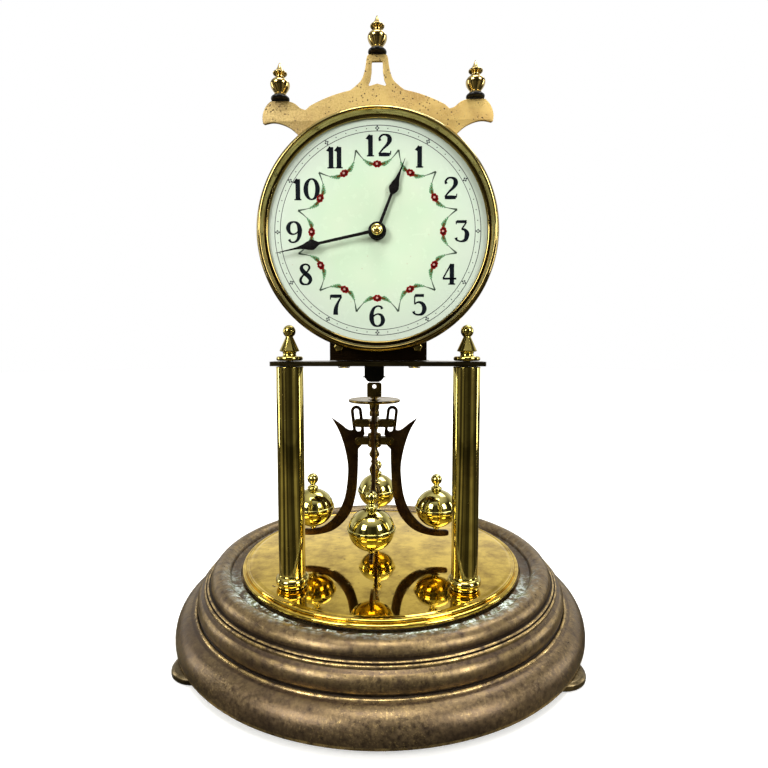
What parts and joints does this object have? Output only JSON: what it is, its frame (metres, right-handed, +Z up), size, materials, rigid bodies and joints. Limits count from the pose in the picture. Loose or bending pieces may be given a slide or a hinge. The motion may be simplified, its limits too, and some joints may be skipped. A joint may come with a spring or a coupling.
{
  "type": "anniversary clock",
  "caption": "Torsion-pendulum mantel clock: round moulded bronzed base, two brass pillars, painted dial in a brass bezel with an openwork crown, and a slowly twisting ball pendulum below.",
  "frame": {"origin": "centre of the base on the surface that the clock stands on", "axes": "+Z up, -Y to the front where the dial faces, +X to the right seen from the front"},
  "size_m": [0.19, 0.19, 0.2587],
  "materials": {
    "aged_bronze": "spun brass with a dark aged bronze patina, worn gold on its beads and verdigris in its ledge",
    "mirror_brass": "polished to a mirror, blotched with age",
    "cast_weight": "rough cast",
    "plain_steel": "turned or ground steel",
    "spring_steel": "blued spring strip",
    "black_steel": "blackened steel",
    "foot_brass": "turned brass",
    "polished_brass": "polished and lacquered",
    "crown_brass": "cast with a matte pitted face",
    "movement_brass": "brushed",
    "dark_brass": "brown oxidised brass",
    "dial_enamel": "satin cream paint with printed numerals and painted roses",
    "black_hands": "gloss black"
  },
  "bodies": {
    "frame": {"base_moulding": "aged_bronze", "base_disc": "mirror_brass", "base_weight": "cast_weight", "foot_plate": "plain_steel", "rear_foot": "foot_brass", "pillar_left": "polished_brass", "pillar_right": "polished_brass", "pillar_bolt_left": "plain_steel", "pillar_bolt_right": "plain_steel", "pillar_finial_left": "polished_brass", "pillar_finial_right": "polished_brass", "movement_platform": "movement_brass", "front_plate": "movement_brass", "back_plate": "movement_brass", "click_spring": "spring_steel", "dial": "dial_enamel", "bezel": "polished_brass", "crown_plate": "crown_brass", "crown_finial_centre": "polished_brass", "crown_finial_left": "polished_brass", "crown_finial_right": "polished_brass", "suspension_bracket": "movement_brass", "suspension_top_block": "plain_steel", "suspension_spring": "spring_steel"},
    "centre_arbor": {"centre_arbor": "plain_steel", "centre_wheel": "movement_brass"},
    "third_arbor": {"third_pinion": "plain_steel", "third_wheel": "movement_brass"},
    "second_arbor": {"second_pinion": "plain_steel", "second_wheel": "movement_brass"},
    "escape_arbor": {"escape_pinion": "plain_steel", "escape_wheel": "movement_brass"},
    "barrel": {"barrel": "movement_brass", "barrel_cap": "movement_brass", "mainspring": "spring_steel"},
    "winding_arbor": {"barrel_arbor": "plain_steel", "ratchet_wheel": "plain_steel"},
    "click": {"click": "plain_steel"},
    "anchor": {"anchor": "plain_steel"},
    "fork": {"suspension_fork": "movement_brass"},
    "minute_hand": {"cannon_pinion": "plain_steel", "minute_hand": "black_hands", "hand_nut": "polished_brass"},
    "minute_wheel": {"minute_wheel": "movement_brass"},
    "hour_hand": {"hour_wheel": "movement_brass", "hour_hand": "black_hands"},
    "pendulum": {"suspension_bottom_block": "black_steel", "pendulum_spindle": "polished_brass"},
    "rating_disc": {"rating_disc": "dark_brass"},
    "slider": {"slider_collar": "dark_brass"},
    "arm_right": {"pendulum_arm_right": "dark_brass", "pendulum_ball_right": "polished_brass"},
    "arm_back": {"pendulum_arm_back": "dark_brass", "pendulum_ball_back": "polished_brass"},
    "arm_left": {"pendulum_arm_left": "dark_brass", "pendulum_ball_left": "polished_brass"},
    "arm_front": {"pendulum_arm_front": "dark_brass", "pendulum_ball_front": "polished_brass"},
    "foot_left": {"levelling_foot_left": "foot_brass"},
    "foot_right": {"levelling_foot_right": "foot_brass"}
  },
  "joints": [
    {"name": "centre_turn", "type": "hinge", "parent": "frame", "child": "centre_arbor", "pos_m": [0, -0.02, 0.1764], "axis": [0, 1, 0], "continuous": true},
    {"name": "third_turn", "type": "hinge", "parent": "frame", "child": "third_arbor", "pos_m": [-0.00684, -0.02, 0.16924], "axis": [0, 1, 0], "continuous": true},
    {"name": "second_turn", "type": "hinge", "parent": "frame", "child": "second_arbor", "pos_m": [-0.007, -0.02, 0.15835], "axis": [0, 1, 0], "continuous": true},
    {"name": "escape_turn", "type": "hinge", "parent": "frame", "child": "escape_arbor", "pos_m": [-0.0031, -0.02, 0.1851], "axis": [0, 1, 0], "continuous": true},
    {"name": "barrel_turn", "type": "hinge", "parent": "frame", "child": "barrel", "pos_m": [0.0052, -0.02, 0.148], "axis": [0, 1, 0], "continuous": true},
    {"name": "winding_turn", "type": "hinge", "parent": "frame", "child": "winding_arbor", "pos_m": [0.0052, -0.02, 0.148], "axis": [0, -1, 0], "range_deg": [0, 3840]},
    {"name": "click_lift", "type": "hinge", "parent": "frame", "child": "click", "pos_m": [0.0148, -0.0086, 0.1536], "axis": [0, 1, 0], "range_deg": [0, 12], "stiffness_Nm_per_rad": 0.0002, "springref_deg": -8.59},
    {"name": "minute_hand_turn", "type": "hinge", "parent": "frame", "child": "minute_hand", "pos_m": [0, -0.036, 0.1764], "axis": [0, 1, 0], "continuous": true},
    {"name": "minute_wheel_turn", "type": "hinge", "parent": "frame", "child": "minute_wheel", "pos_m": [0.00624, -0.036, 0.1728], "axis": [0, 1, 0], "continuous": true},
    {"name": "hour_hand_turn", "type": "hinge", "parent": "frame", "child": "hour_hand", "pos_m": [0, -0.038, 0.1764], "axis": [0, 1, 0], "continuous": true},
    {"name": "pendulum_twist", "type": "hinge", "parent": "frame", "child": "pendulum", "pos_m": [-0.0031, 0, 0.12], "axis": [0, 0, 1], "range_deg": [-150, 150], "stiffness_Nm_per_rad": 0.0000225},
    {"name": "fork_twist", "type": "hinge", "parent": "frame", "child": "fork", "pos_m": [-0.0031, 0, 0.2046], "axis": [0, 0, 1], "range_deg": [-12, 12]},
    {"name": "anchor_rock", "type": "hinge", "parent": "frame", "child": "anchor", "pos_m": [-0.0031, -0.02, 0.1972], "axis": [0, 1, 0], "range_deg": [-6.5, 6.5]},
    {"name": "rating_disc_turn", "type": "hinge", "parent": "pendulum", "child": "rating_disc", "pos_m": [-0.0031, 0, 0.1052], "axis": [0, 0, 1], "range_deg": [-720, 720]},
    {"name": "slider_travel", "type": "slide", "parent": "pendulum", "child": "slider", "axis": [0, 0, 1], "range_m": [-0.00105, 0.00105]},
    {"name": "arm_right_swing", "type": "hinge", "parent": "pendulum", "child": "arm_right", "pos_m": [0.0043, 0, 0.0856], "axis": [0, -1, 0], "range_deg": [-0.8, 0.8]},
    {"name": "arm_back_swing", "type": "hinge", "parent": "pendulum", "child": "arm_back", "pos_m": [-0.0031, 0.0074, 0.0856], "axis": [1, 0, 0], "range_deg": [-0.8, 0.8]},
    {"name": "arm_left_swing", "type": "hinge", "parent": "pendulum", "child": "arm_left", "pos_m": [-0.0105, 0, 0.0856], "axis": [0, 1, 0], "range_deg": [-0.8, 0.8]},
    {"name": "arm_front_swing", "type": "hinge", "parent": "pendulum", "child": "arm_front", "pos_m": [-0.0031, -0.0074, 0.0856], "axis": [-1, 0, 0], "range_deg": [-0.8, 0.8]},
    {"name": "foot_left_screw", "type": "hinge", "parent": "frame", "child": "foot_left", "pos_m": [-0.0718, -0.0495, 0.004], "axis": [0, 0, 1], "range_deg": [-720, 720]},
    {"name": "foot_right_screw", "type": "hinge", "parent": "frame", "child": "foot_right", "pos_m": [0.0718, -0.0495, 0.004], "axis": [0, 0, 1], "range_deg": [-720, 720]}
  ],
  "couplings": [
    {"joint": "third_turn", "follows": "centre_turn", "ratio": -0.1},
    {"joint": "second_turn", "follows": "centre_turn", "ratio": 0.01},
    {"joint": "barrel_turn", "follows": "centre_turn", "ratio": -0.0011111},
    {"joint": "escape_turn", "follows": "centre_turn", "ratio": -10},
    {"joint": "minute_hand_turn", "follows": "centre_turn", "ratio": 1},
    {"joint": "minute_wheel_turn", "follows": "centre_turn", "ratio": -0.33333},
    {"joint": "hour_hand_turn", "follows": "centre_turn", "ratio": 0.083333},
    {"joint": "fork_twist", "follows": "pendulum_twist", "ratio": 0.066667},
    {"joint": "anchor_rock", "follows": "pendulum_twist", "ratio": 0.040541},
    {"joint": "slider_travel", "follows": "rating_disc_turn", "m_per_rad": 0.000079577},
    {"joint": "arm_right_swing", "follows": "rating_disc_turn", "ratio": 0.0010703},
    {"joint": "arm_back_swing", "follows": "rating_disc_turn", "ratio": 0.0010703},
    {"joint": "arm_left_swing", "follows": "rating_disc_turn", "ratio": 0.0010703},
    {"joint": "arm_front_swing", "follows": "rating_disc_turn", "ratio": 0.0010703}
  ]
}
